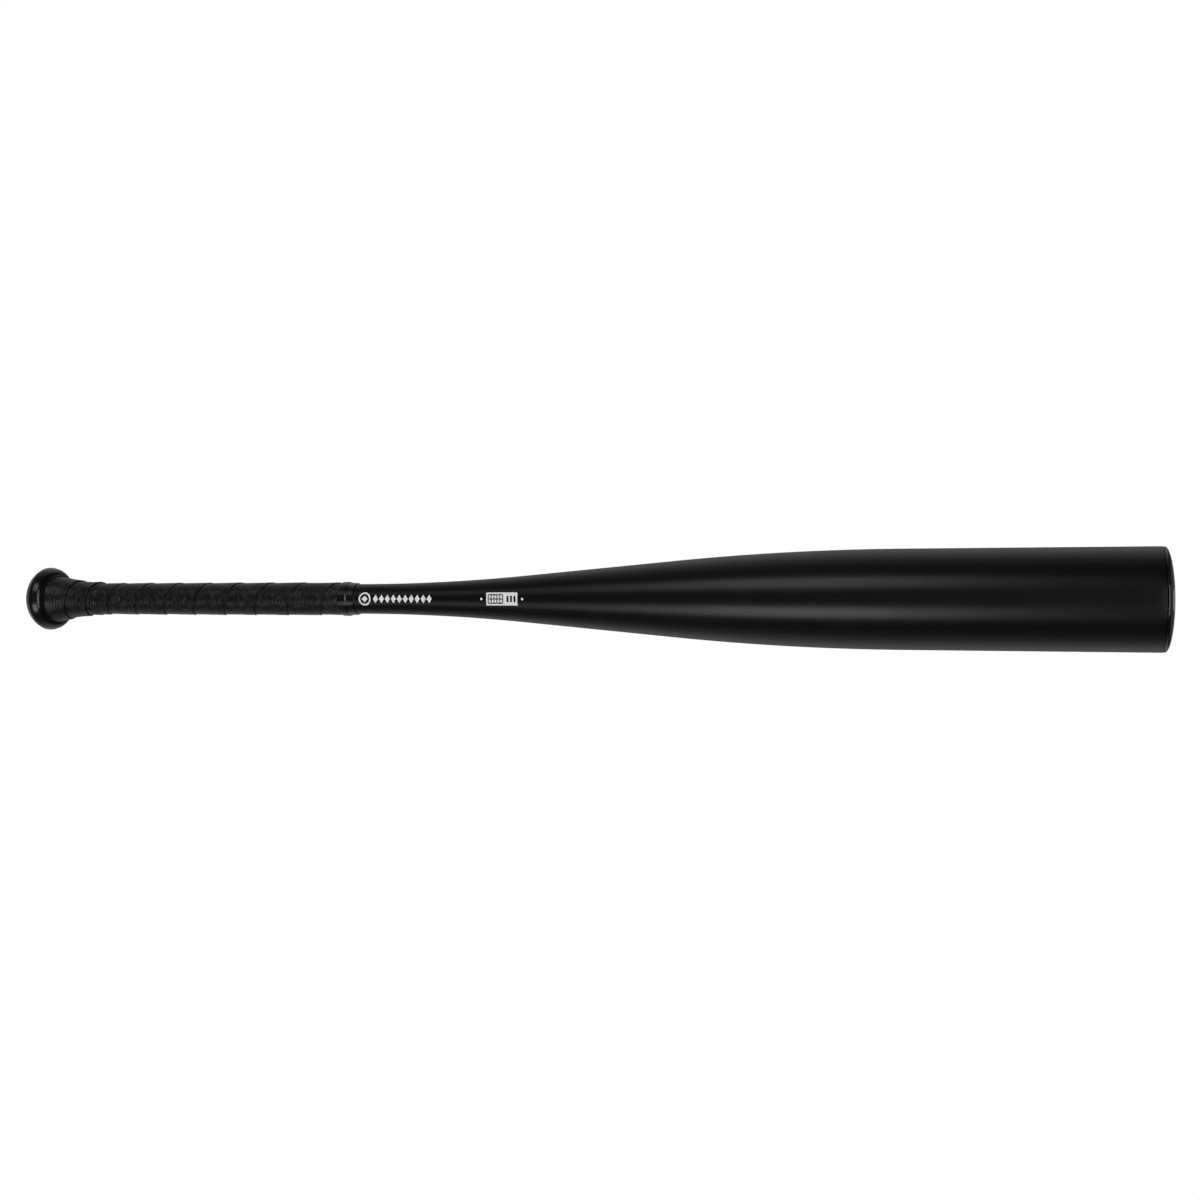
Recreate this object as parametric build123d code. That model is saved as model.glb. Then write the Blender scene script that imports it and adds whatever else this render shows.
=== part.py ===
from build123d import *
import os
from math import cos, pi, radians, sin, tan

os.makedirs("parts", exist_ok=True)

# A one-piece aluminium baseball bat. All sizes are in millimetres.
# +X runs along the bat, from the knob's end face at x = 0 to the crown of the end cap.
# The printed side faces -Y, and +Z is up. Every round piece is turned about the X axis.

# ---- the whole bat
BAT_LENGTH = 838.2  # 33 inches, from the knob's end face to the crown of the cap
HANDLE_RADIUS = 10.93  # bare handle, just under 7/8 inch across
BARREL_RADIUS = 33.34  # barrel of 2 5/8 inches

# ---- the tube
BARREL_LENGTH = 158.8  # straight stretch behind the rim
SHOULDER_ARC_RADIUS = 1720.0  # the gentle shoulder before the barrel
CONE_ANGLE = 5.1  # degrees, the straight cone between the two arcs
HOLLOW_ARC_RADIUS = 1440.0  # the gentle hollow after the handle
HANDLE_WALL = 2.1
BARREL_WALL = 2.9
RIM_ROUNDING = 0.8  # the barrel's turned-over rim

# ---- the knob and its neck
KNOB_RADIUS = 24.5
KNOB_FACE_RADIUS = 16.1  # flat end face
KNOB_WIDEST_X = 9.5
KNOB_FRONT_X = 17.55  # where the round of the knob meets the neck
KNOB_FRONT_RADIUS = 18.6
KNOB_BACK_FULLNESS = 1.5  # flatter than an ellipse
ELLIPSE_FULLNESS = 2.0
NECK_ROOT_RADIUS = 17.5
NECK_LENGTH = 38.5
NECK_MIDDLE_SHARE = 0.45  # how far along the neck its wall is given
NECK_MIDDLE_THICKNESS = 2.5
NECK_TIP_THICKNESS = 0.7
KNOB_SEAT_X = 8.0  # the tube's end stands on this shoulder
KNOB_BORE_GAP = 0.05
WELD_LENGTH = 3.6

# ---- the plug and the blank disc in the knob's end
PLUG_HEAD_RADIUS = 12.5
PLUG_HEAD_DEPTH = 2.6
PLUG_STEM_RADIUS = 7.4
PLUG_STEM_CHAMFER = 0.8
PLUG_GAP = 0.05
DISC_RADIUS = 10.4
DISC_THICKNESS = 0.8

# ---- inside the handle
SLUG_OFFSET = 5.0  # behind the tube's end
SLUG_LENGTH = 16.0
SLUG_CHAMFER = 0.8
FOAM_LENGTH = 34.0
FOAM_TO_TAPER = 20.0

# ---- the grip and the tape that finishes it
GRIP_THICKNESS = 1.2
GRIP_NECK_GAP = 0.05
TAPE_THICKNESS = 0.45
TAPE_ON_GRIP = 5.2  # how much of the grip the tape covers
TAPE_ON_HANDLE = 7.6
TAPE_TO_TAPER = 1.6
TAPE_TURNS_ON_HANDLE = 2

# ---- inside the barrel
RING_TO_RIM = 118.0
RING_WIDTH = 22.0
RING_WALL = 1.6
RING_CHAMFER = 0.6

# ---- the end cap
CAP_LIP_HEIGHT = 0.7
CAP_CROWN_HEIGHT = 5.6
CAP_LIP_INSET = 0.1  # how far the lip stays inside the barrel's outside
CAP_GROOVE_WIDTH = 0.35
CAP_GROOVE_DEPTH = 1.5
CAP_THICKNESS = 3.2
CAP_SKIRT_DEPTH = 22.0
CAP_SKIRT_WALL = 2.4
CAP_RIDGES = 3
CAP_RIDGE_WIDTH = 1.8
CAP_RIDGE_GAP = 0.1  # between a ridge and the barrel's inside
ADHESIVE_THICKNESS = 0.8
CAP_RIBS = 6
CAP_RIB_THICKNESS = 2.0
CAP_RIB_DEPTH = 7.0
CAP_HUB_RADIUS = 6.0

# ---- the print on the taper
INK_THICKNESS = 0.08
INK_GAP = 0.02
MARK_TO_TAPER = 2.3
MARK_RING_RADIUS = 4.8
MARK_RING_WIDTH = 1.2
MARK_DIAMOND_RADIUS = 2.4
MARK_GAP = 1.9
MARK_LOZENGES = 10
MARK_LOZENGE_PITCH = 4.75
MARK_LOZENGE_WIDTH = 4.1
MARK_LOZENGE_HEIGHT = 6.2
PATCH_TO_TAPER = 115.4  # to the patch's centre
PATCH_LENGTH = 24.1
PATCH_HEIGHT = 9.2
PATCH_CORNER = 0.6
PATCH_BORDER = 1.2
WINDOW_LENGTH = 12.0
WINDOW_CORNER = 1.0
TILE_COLUMNS = 5
TILE_ROWS = 2
TILE_GAP = 0.75
SLOT_COUNT = 3
SLOT_WIDTH = 1.5
SLOT_PITCH = 2.7
SLOT_HEIGHT = 4.8
DOT_RADIUS = 0.9
DOT_SPACING = 31.5

# ---- places and radii that follow from the sizes above
RIM_X = BAT_LENGTH - CAP_LIP_HEIGHT - CAP_CROWN_HEIGHT
CONE_TURN = radians(CONE_ANGLE)
HOLLOW_RISE = HOLLOW_ARC_RADIUS * (1 - cos(CONE_TURN))
SHOULDER_RISE = SHOULDER_ARC_RADIUS * (1 - cos(CONE_TURN))
CONE_LENGTH = (BARREL_RADIUS - HANDLE_RADIUS - HOLLOW_RISE - SHOULDER_RISE) / tan(CONE_TURN)
TAPER_LENGTH = (HOLLOW_ARC_RADIUS + SHOULDER_ARC_RADIUS) * sin(CONE_TURN) + CONE_LENGTH
TAPER_START = RIM_X - BARREL_LENGTH - TAPER_LENGTH
BORE_RADIUS = HANDLE_RADIUS - HANDLE_WALL
BARREL_BORE_RADIUS = BARREL_RADIUS - BARREL_WALL
NECK_TIP_X = KNOB_FRONT_X + NECK_LENGTH
WELD_END_X = NECK_TIP_X + WELD_LENGTH
GRIP_END_X = TAPER_START - TAPE_TO_TAPER - TAPE_ON_HANDLE
GRIP_RADIUS = HANDLE_RADIUS + GRIP_THICKNESS
CAP_LIP_X = RIM_X + CAP_LIP_HEIGHT
CAP_RADIUS = BARREL_RADIUS - CAP_LIP_INSET
SKIRT_RADIUS = BARREL_BORE_RADIUS - ADHESIVE_THICKNESS
SKIRT_BORE_RADIUS = SKIRT_RADIUS - CAP_SKIRT_WALL
MARK_START = TAPER_START + MARK_TO_TAPER
PATCH_CENTRE = TAPER_START + PATCH_TO_TAPER
CURVE_POINTS = 7  # points that carry one quarter curve


# ---- outlines, each in the plane of x along the bat and y away from its axis


def turned(edges):
    """The solid that a closed outline sweeps in one turn about the bat's axis."""
    return revolve(Face(Wire(edges)), axis=Axis.X)


def tube_ring(start_x, end_x, inner, outer):
    """A plain ring between two radii, or a disc where the inner one is 0."""
    corners = [(start_x, inner), (start_x, outer), (end_x, outer), (end_x, inner)]
    return turned(Polyline(*corners, close=True).edges())


def chamfered_plug(start_x, end_x, radius, chamfer):
    """A solid round plug with both end corners cut off."""
    corners = [
        (start_x, 0),
        (start_x, radius - chamfer),
        (start_x + chamfer, radius),
        (end_x - chamfer, radius),
        (end_x, radius - chamfer),
        (end_x, 0),
    ]
    return turned(Polyline(*corners, close=True).edges())


def quarter_curve(low, top, fullness):
    """A curve from low, where it climbs straight up, to top, where it runs level.

    The two corners are points (x, radius). A fullness of 2 gives a quarter ellipse.
    """
    points = []
    for step in range(CURVE_POINTS):
        angle = pi / 2 * step / (CURVE_POINTS - 1)
        along = 1 - max(cos(angle), 0.0) ** (2 / fullness)
        rise = sin(angle) ** (2 / fullness)
        points.append((low[0] + (top[0] - low[0]) * along, low[1] + (top[1] - low[1]) * rise))
    points[0] = low
    points[-1] = top
    level = 1 if top[0] > low[0] else -1
    return Spline(*points, tangents=[(0, 1), (level, 0)])


def body_line(start_x, end_x, offset, inside=False):
    """The body's outline from start_x to end_x, offset away from the axis.

    It runs along the handle, a hollow arc, a straight cone, a shoulder arc and the barrel.
    With inside it is the outline of the tube's bore.
    """
    handle = (BORE_RADIUS if inside else HANDLE_RADIUS) + offset
    barrel = (BARREL_BORE_RADIUS if inside else BARREL_RADIUS) + offset
    half_turn = CONE_TURN / 2
    cone_rise = barrel - handle - HOLLOW_RISE - SHOULDER_RISE
    hollow_start = (TAPER_START, handle)
    hollow_middle = (
        TAPER_START + HOLLOW_ARC_RADIUS * sin(half_turn),
        handle + HOLLOW_ARC_RADIUS * (1 - cos(half_turn)),
    )
    hollow_end = (TAPER_START + HOLLOW_ARC_RADIUS * sin(CONE_TURN), handle + HOLLOW_RISE)
    cone_end = (hollow_end[0] + cone_rise / tan(CONE_TURN), hollow_end[1] + cone_rise)
    shoulder_end = (cone_end[0] + SHOULDER_ARC_RADIUS * sin(CONE_TURN), barrel)
    shoulder_middle = (
        shoulder_end[0] - SHOULDER_ARC_RADIUS * sin(half_turn),
        barrel - SHOULDER_ARC_RADIUS * (1 - cos(half_turn)),
    )
    return [
        Line((start_x, handle), hollow_start),
        ThreePointArc(hollow_start, hollow_middle, hollow_end),
        Line(hollow_end, cone_end),
        ThreePointArc(cone_end, shoulder_middle, shoulder_end),
        Line(shoulder_end, (end_x, barrel)),
    ]


def neck_line(offset):
    """The hollow outline of the knob's neck, offset away from the axis."""
    root = (KNOB_FRONT_X, NECK_ROOT_RADIUS + offset)
    middle = (
        KNOB_FRONT_X + NECK_LENGTH * NECK_MIDDLE_SHARE,
        HANDLE_RADIUS + NECK_MIDDLE_THICKNESS + offset,
    )
    tip = (NECK_TIP_X, HANDLE_RADIUS + NECK_TIP_THICKNESS + offset)
    return ThreePointArc(root, middle, tip)


# ---- the metal pieces


def bat_tube():
    """Handle, taper and barrel, drawn from one piece of tube, open at both ends."""
    outside = body_line(KNOB_SEAT_X, RIM_X - RIM_ROUNDING, 0)
    bore = body_line(KNOB_SEAT_X, RIM_X, 0, inside=True)
    rounding = RadiusArc(
        (RIM_X - RIM_ROUNDING, BARREL_RADIUS),
        (RIM_X, BARREL_RADIUS - RIM_ROUNDING),
        RIM_ROUNDING,
    )
    rim = Line((RIM_X, BARREL_RADIUS - RIM_ROUNDING), (RIM_X, BARREL_BORE_RADIUS))
    end = Line((KNOB_SEAT_X, BORE_RADIUS), (KNOB_SEAT_X, HANDLE_RADIUS))
    return turned([*outside, rounding, rim, *bore, end])


def knob():
    """The round knob with its flared neck, bored to take the tube and a plug."""
    bore = HANDLE_RADIUS + KNOB_BORE_GAP
    back = quarter_curve((0, KNOB_FACE_RADIUS), (KNOB_WIDEST_X, KNOB_RADIUS), KNOB_BACK_FULLNESS)
    front = quarter_curve(
        (KNOB_FRONT_X, KNOB_FRONT_RADIUS), (KNOB_WIDEST_X, KNOB_RADIUS), ELLIPSE_FULLNESS
    )
    step = Line((KNOB_FRONT_X, KNOB_FRONT_RADIUS), (KNOB_FRONT_X, NECK_ROOT_RADIUS))
    inside = Polyline(
        (NECK_TIP_X, HANDLE_RADIUS + NECK_TIP_THICKNESS),
        (NECK_TIP_X, bore),
        (KNOB_SEAT_X, bore),
        (KNOB_SEAT_X, PLUG_STEM_RADIUS + PLUG_GAP),
        (PLUG_HEAD_DEPTH, PLUG_STEM_RADIUS + PLUG_GAP),
        (PLUG_HEAD_DEPTH, PLUG_HEAD_RADIUS + PLUG_GAP),
        (0, PLUG_HEAD_RADIUS + PLUG_GAP),
        (0, KNOB_FACE_RADIUS),
    )
    return turned([back, front, step, neck_line(0), *inside.edges()])


def knob_weld():
    """The bead that joins the neck's tip to the handle."""
    tip = (NECK_TIP_X, HANDLE_RADIUS + NECK_TIP_THICKNESS)
    foot = (WELD_END_X, HANDLE_RADIUS)
    crown = (
        NECK_TIP_X + WELD_LENGTH * sin(pi / 4) * 0.9,
        HANDLE_RADIUS + NECK_TIP_THICKNESS * sin(pi / 4) * 0.9,
    )
    heel = (NECK_TIP_X, HANDLE_RADIUS)
    return turned([Line(heel, tip), ThreePointArc(tip, crown, foot), Line(foot, heel)])


def balance_slug():
    """The steel weight pressed into the knob end of the handle."""
    start = KNOB_SEAT_X + SLUG_OFFSET
    return chamfered_plug(start, start + SLUG_LENGTH, BORE_RADIUS, SLUG_CHAMFER)


def stiffening_ring():
    """The ring pressed into the barrel, which stiffens its wall at the hitting spot."""
    start = RIM_X - RING_TO_RIM
    end = start + RING_WIDTH
    inner = BARREL_BORE_RADIUS - RING_WALL
    corners = [
        (start, BARREL_BORE_RADIUS),
        (start, inner + RING_CHAMFER),
        (start + RING_CHAMFER, inner),
        (end - RING_CHAMFER, inner),
        (end, inner + RING_CHAMFER),
        (end, BARREL_BORE_RADIUS),
    ]
    return turned(Polyline(*corners, close=True).edges())


# ---- the plastic and rubber pieces


def knob_plug():
    """The rubber plug that closes the knob's end, with a seat for the disc."""
    corners = [
        (DISC_THICKNESS, 0),
        (DISC_THICKNESS, DISC_RADIUS + PLUG_GAP),
        (0, DISC_RADIUS + PLUG_GAP),
        (0, PLUG_HEAD_RADIUS),
        (PLUG_HEAD_DEPTH, PLUG_HEAD_RADIUS),
        (PLUG_HEAD_DEPTH, PLUG_STEM_RADIUS),
        (KNOB_SEAT_X - PLUG_STEM_CHAMFER, PLUG_STEM_RADIUS),
        (KNOB_SEAT_X, PLUG_STEM_RADIUS - PLUG_STEM_CHAMFER),
        (KNOB_SEAT_X, 0),
    ]
    return turned(Polyline(*corners, close=True).edges())


def size_disc():
    """The blank disc let in flush with the knob's end face."""
    return tube_ring(0, DISC_THICKNESS, 0, DISC_RADIUS)


def handle_foam():
    """The foam plug that keeps the hollow handle from ringing."""
    end = TAPER_START - FOAM_TO_TAPER
    return tube_ring(end - FOAM_LENGTH, end, 0, BORE_RADIUS)


def skirt_ridges():
    """Where each ridge round the cap's skirt starts, from the rim inwards."""
    pitch = (CAP_SKIRT_DEPTH - CAP_RIDGE_WIDTH) / CAP_RIDGES
    return [RIM_X - pitch * (ridge + 1) - CAP_RIDGE_WIDTH / 2 for ridge in range(CAP_RIDGES)]


def crown_curve(top_x, side_x, radius):
    """A quarter ellipse from the axis at top_x, which it leaves squarely, to radius at side_x."""
    return quarter_curve((top_x, 0), (side_x, radius), ELLIPSE_FULLNESS)


def cap_ribs():
    """The hub and the ribs that stiffen the underside of the crown."""
    top_x = BAT_LENGTH - CAP_THICKNESS / 2
    side_x = RIM_X - CAP_THICKNESS / 2
    bottom_x = CAP_LIP_X - CAP_RIB_DEPTH
    reach = SKIRT_BORE_RADIUS + CAP_SKIRT_WALL / 2
    rib = Pos((top_x + bottom_x) / 2, 0, reach / 2)
    rib *= Box(top_x - bottom_x, CAP_RIB_THICKNESS, reach)
    ribs = tube_ring(bottom_x, top_x, 0, CAP_HUB_RADIUS)
    for place in range(CAP_RIBS):
        ribs += Rot(360 / CAP_RIBS * place, 0, 0) * rib
    below = Polyline((side_x, reach), (bottom_x, reach), (bottom_x, 0), (top_x, 0))
    return ribs & turned([crown_curve(top_x, side_x, reach), *below.edges()])


def end_cap():
    """The moulded cap: a low crown over a lip, and a ridged skirt inside the barrel."""
    groove_radius = BARREL_RADIUS - CAP_GROOVE_DEPTH
    outside = Polyline(
        (CAP_LIP_X, CAP_RADIUS),
        (RIM_X + CAP_GROOVE_WIDTH, CAP_RADIUS),
        (RIM_X + CAP_GROOVE_WIDTH, groove_radius),
        (RIM_X, groove_radius),
        (RIM_X, SKIRT_RADIUS),
        (RIM_X - CAP_SKIRT_DEPTH, SKIRT_RADIUS),
        (RIM_X - CAP_SKIRT_DEPTH, SKIRT_BORE_RADIUS),
        (CAP_LIP_X - CAP_THICKNESS, SKIRT_BORE_RADIUS),
    )
    crown = crown_curve(BAT_LENGTH, CAP_LIP_X, CAP_RADIUS)
    hollow = crown_curve(BAT_LENGTH - CAP_THICKNESS, CAP_LIP_X - CAP_THICKNESS, SKIRT_BORE_RADIUS)
    middle = Line((BAT_LENGTH - CAP_THICKNESS, 0), (BAT_LENGTH, 0))
    cap = turned([crown, *outside.edges(), hollow, middle]) + cap_ribs()
    ridge_foot = SKIRT_RADIUS - CAP_SKIRT_WALL / 2
    ridge_top = BARREL_BORE_RADIUS - CAP_RIDGE_GAP
    for start in skirt_ridges():
        cap += tube_ring(start, start + CAP_RIDGE_WIDTH, ridge_foot, ridge_top)
    return cap


def cap_adhesive():
    """The bands of adhesive between the skirt's ridges and the barrel's inside."""
    bands = []
    edge = RIM_X - RIM_ROUNDING
    for start in skirt_ridges():
        bands.append(tube_ring(start + CAP_RIDGE_WIDTH, edge, SKIRT_RADIUS, BARREL_BORE_RADIUS))
        edge = start
    return Compound(bands)


# ---- the grip


def grip_tape():
    """The wrapped grip, as one sleeve from the knob to just short of the taper."""
    tip_radius = HANDLE_RADIUS + NECK_TIP_THICKNESS
    outside = Polyline(
        (NECK_TIP_X, tip_radius + GRIP_THICKNESS),
        (WELD_END_X, GRIP_RADIUS),
        (GRIP_END_X, GRIP_RADIUS),
        (GRIP_END_X, HANDLE_RADIUS),
        (WELD_END_X, HANDLE_RADIUS),
        (WELD_END_X, tip_radius + GRIP_NECK_GAP),
        (NECK_TIP_X, tip_radius + GRIP_NECK_GAP),
    )
    start = Line(
        (KNOB_FRONT_X, NECK_ROOT_RADIUS + GRIP_NECK_GAP),
        (KNOB_FRONT_X, NECK_ROOT_RADIUS + GRIP_THICKNESS),
    )
    return turned([neck_line(GRIP_THICKNESS), *outside.edges(), neck_line(GRIP_NECK_GAP), start])


def finishing_tape():
    """The band of tape over the grip's end, with its last turns on the bare handle."""
    step = TAPE_THICKNESS * TAPE_TURNS_ON_HANDLE
    corners = [
        (GRIP_END_X - TAPE_ON_GRIP, GRIP_RADIUS),
        (GRIP_END_X - TAPE_ON_GRIP, GRIP_RADIUS + TAPE_THICKNESS),
        (GRIP_END_X, GRIP_RADIUS + TAPE_THICKNESS),
        (GRIP_END_X + step, HANDLE_RADIUS + step),
        (GRIP_END_X + TAPE_ON_HANDLE, HANDLE_RADIUS + step),
        (GRIP_END_X + TAPE_ON_HANDLE, HANDLE_RADIUS),
        (GRIP_END_X, HANDLE_RADIUS),
        (GRIP_END_X, GRIP_RADIUS),
    ]
    return turned(Polyline(*corners, close=True).edges())


# ---- the print


def ink_skin():
    """A thin skin over the whole taper, from which the print is cut."""
    inner = body_line(KNOB_SEAT_X, RIM_X, INK_GAP)
    outer = body_line(KNOB_SEAT_X, RIM_X, INK_GAP + INK_THICKNESS)
    ends = [Line(inner[0] @ 0, outer[0] @ 0), Line(inner[-1] @ 1, outer[-1] @ 1)]
    return turned([*inner, *outer, *ends])


def printed(shape, skin):
    """The part of the skin that a flat shape, seen from the printed side, covers."""
    pieces = extrude(Plane.XZ * shape, BARREL_RADIUS * 2) & skin
    return Compound(pieces.solids())


def lozenge(width, height):
    """A diamond standing on its point."""
    corners = [(-width / 2, 0), (0, -height / 2), (width / 2, 0), (0, height / 2)]
    return make_face(Polyline(*corners, close=True))


def handle_mark(skin):
    """A ring with a diamond in it, and a row of lozenges after it."""
    emblem = Circle(MARK_RING_RADIUS) - Circle(MARK_RING_RADIUS - MARK_RING_WIDTH)
    emblem += lozenge(MARK_DIAMOND_RADIUS * 2, MARK_DIAMOND_RADIUS * 2)
    shape = Pos(MARK_START + MARK_RING_RADIUS, 0) * emblem
    row_start = MARK_START + MARK_RING_RADIUS * 2 + MARK_GAP + MARK_LOZENGE_WIDTH / 2
    for place in range(MARK_LOZENGES):
        centre = row_start + MARK_LOZENGE_PITCH * place
        shape += Pos(centre, 0) * lozenge(MARK_LOZENGE_WIDTH, MARK_LOZENGE_HEIGHT)
    return printed(shape, skin)


def patch_window():
    """The window at one end of the patch, less the tiles that stand in it."""
    height = PATCH_HEIGHT - PATCH_BORDER * 2
    window = RectangleRounded(WINDOW_LENGTH, height, WINDOW_CORNER)
    tile_length = (WINDOW_LENGTH - TILE_GAP) / TILE_COLUMNS - TILE_GAP
    tile_height = (height - TILE_GAP) / TILE_ROWS - TILE_GAP
    pitch = (tile_length + TILE_GAP, tile_height + TILE_GAP)
    for place in GridLocations(*pitch, TILE_COLUMNS, TILE_ROWS):
        window -= place * Rectangle(tile_length, tile_height)
    return window


def rating_patch(skin):
    """A plain plate of print with a tiled window at one end and three slots at the other."""
    window_x = (WINDOW_LENGTH - PATCH_LENGTH) / 2 + PATCH_BORDER
    slots_x = window_x + PATCH_LENGTH / 2
    plate = RectangleRounded(PATCH_LENGTH, PATCH_HEIGHT, PATCH_CORNER)
    plate -= Pos(window_x, 0) * patch_window()
    for place in GridLocations(SLOT_PITCH, 1, SLOT_COUNT, 1):
        plate -= Pos(slots_x, 0) * place * SlotOverall(SLOT_HEIGHT, SLOT_WIDTH, rotation=90)
    return printed(Pos(PATCH_CENTRE, 0) * plate, skin)


def patch_dots(skin):
    """The two dots, one on each side of the patch."""
    dots = Pos(PATCH_CENTRE - DOT_SPACING / 2, 0) * Circle(DOT_RADIUS)
    dots += Pos(PATCH_CENTRE + DOT_SPACING / 2, 0) * Circle(DOT_RADIUS)
    return printed(dots, skin)


# ---- every piece, one file each

SKIN = ink_skin()
PIECES = {
    "bat_tube": bat_tube(),
    "knob": knob(),
    "knob_weld": knob_weld(),
    "knob_plug": knob_plug(),
    "size_disc": size_disc(),
    "balance_slug": balance_slug(),
    "handle_foam": handle_foam(),
    "grip_tape": grip_tape(),
    "finishing_tape": finishing_tape(),
    "stiffening_ring": stiffening_ring(),
    "end_cap": end_cap(),
    "cap_adhesive": cap_adhesive(),
    "handle_mark": handle_mark(SKIN),
    "rating_patch": rating_patch(SKIN),
    "patch_dots": patch_dots(SKIN),
}
for name, piece in PIECES.items():
    export_step(piece, f"parts/{name}.step")
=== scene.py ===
"""A one-piece aluminium baseball bat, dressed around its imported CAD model.

+X runs along the bat from the knob to the cap, the printed side faces -Y, and +Z is up.
The tube's, the grip's and the tape's sizes are in millimetres. Finishes, lamps, camera and
meshes are in metres.
"""

import logging
from dataclasses import dataclass, field
from enum import Enum
from math import cos, pi, radians, sin, sqrt, tan
from typing import Optional, Union

import bmesh
import bpy
from mathutils import Matrix, Vector, noise


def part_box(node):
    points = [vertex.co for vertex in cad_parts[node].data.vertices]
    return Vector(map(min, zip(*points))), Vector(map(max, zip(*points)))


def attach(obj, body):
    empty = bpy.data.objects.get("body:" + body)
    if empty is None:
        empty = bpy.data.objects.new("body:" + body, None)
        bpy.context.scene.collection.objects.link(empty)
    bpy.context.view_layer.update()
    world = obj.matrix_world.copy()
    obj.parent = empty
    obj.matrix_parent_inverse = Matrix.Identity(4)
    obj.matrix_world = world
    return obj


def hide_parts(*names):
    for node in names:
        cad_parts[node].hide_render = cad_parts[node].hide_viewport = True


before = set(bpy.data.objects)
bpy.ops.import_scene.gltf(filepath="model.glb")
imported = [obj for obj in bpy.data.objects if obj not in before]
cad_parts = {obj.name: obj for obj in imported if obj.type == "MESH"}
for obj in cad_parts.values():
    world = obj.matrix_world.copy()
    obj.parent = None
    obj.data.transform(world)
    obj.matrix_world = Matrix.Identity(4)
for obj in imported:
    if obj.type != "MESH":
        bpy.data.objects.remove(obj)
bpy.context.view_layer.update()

MM = 0.001
SHARP_ANGLE = radians(32)
SMALLEST_GAP = 1e-7  # metres, below which two points are one
SMALLEST_TURN = 1e-6  # turns, below which a search has found its place
GLOSS_IOR = 1.5  # of paint, vinyl and moulded plastic

log = logging.getLogger("bat")

Point = tuple[float, float]
Place = tuple[float, float, float]
Colour = tuple[float, float, float, float]
Piece = bpy.types.Object


# ---- named choices


class Slot(Enum):
    """The record's material slots."""

    TUBE = "tube_finish"
    KNOB = "knob_finish"
    WELD = "bare_weld"
    PLUG = "plug_rubber"
    DISC = "disc_plastic"
    SLUG = "slug_steel"
    FOAM = "foam_rubber"
    GRIP = "grip_rubber"
    TAPE = "tape_vinyl"
    RING = "ring_aluminium"
    CAP = "cap_plastic"
    GLUE = "adhesive"
    INK = "white_ink"


class CellWall(Enum):
    """How the cells of a pattern meet."""

    SHARP = "F1"
    SOFT = "SMOOTH_F1"


# ---- shader building


class Field:
    """A socket's value, which Python's operators work on by adding Math nodes."""

    def __init__(self, craft: "Craft", socket: bpy.types.NodeSocket) -> None:
        """Wraps a socket.

        Args:
            craft: The node tree's builder.
            socket: An output socket that gives a number.
        """
        self.craft = craft
        self.socket = socket

    def _with(self, operation: str, first: "Value", second: "Value") -> "Field":
        """Adds one Math node and gives its result."""
        return self.craft.node("ShaderNodeMath", {"operation": operation}, {0: first, 1: second})

    def __add__(self, other: "Value") -> "Field":
        """This plus other."""
        return self._with("ADD", self, other)

    def __radd__(self, other: "Value") -> "Field":
        """Other plus this."""
        return self._with("ADD", other, self)

    def __sub__(self, other: "Value") -> "Field":
        """This less other."""
        return self._with("SUBTRACT", self, other)

    def __rsub__(self, other: "Value") -> "Field":
        """Other less this."""
        return self._with("SUBTRACT", other, self)

    def __mul__(self, other: "Value") -> "Field":
        """This times other."""
        return self._with("MULTIPLY", self, other)

    def __rmul__(self, other: "Value") -> "Field":
        """Other times this."""
        return self._with("MULTIPLY", other, self)


Value = Union[float, int, tuple, Field]


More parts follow.
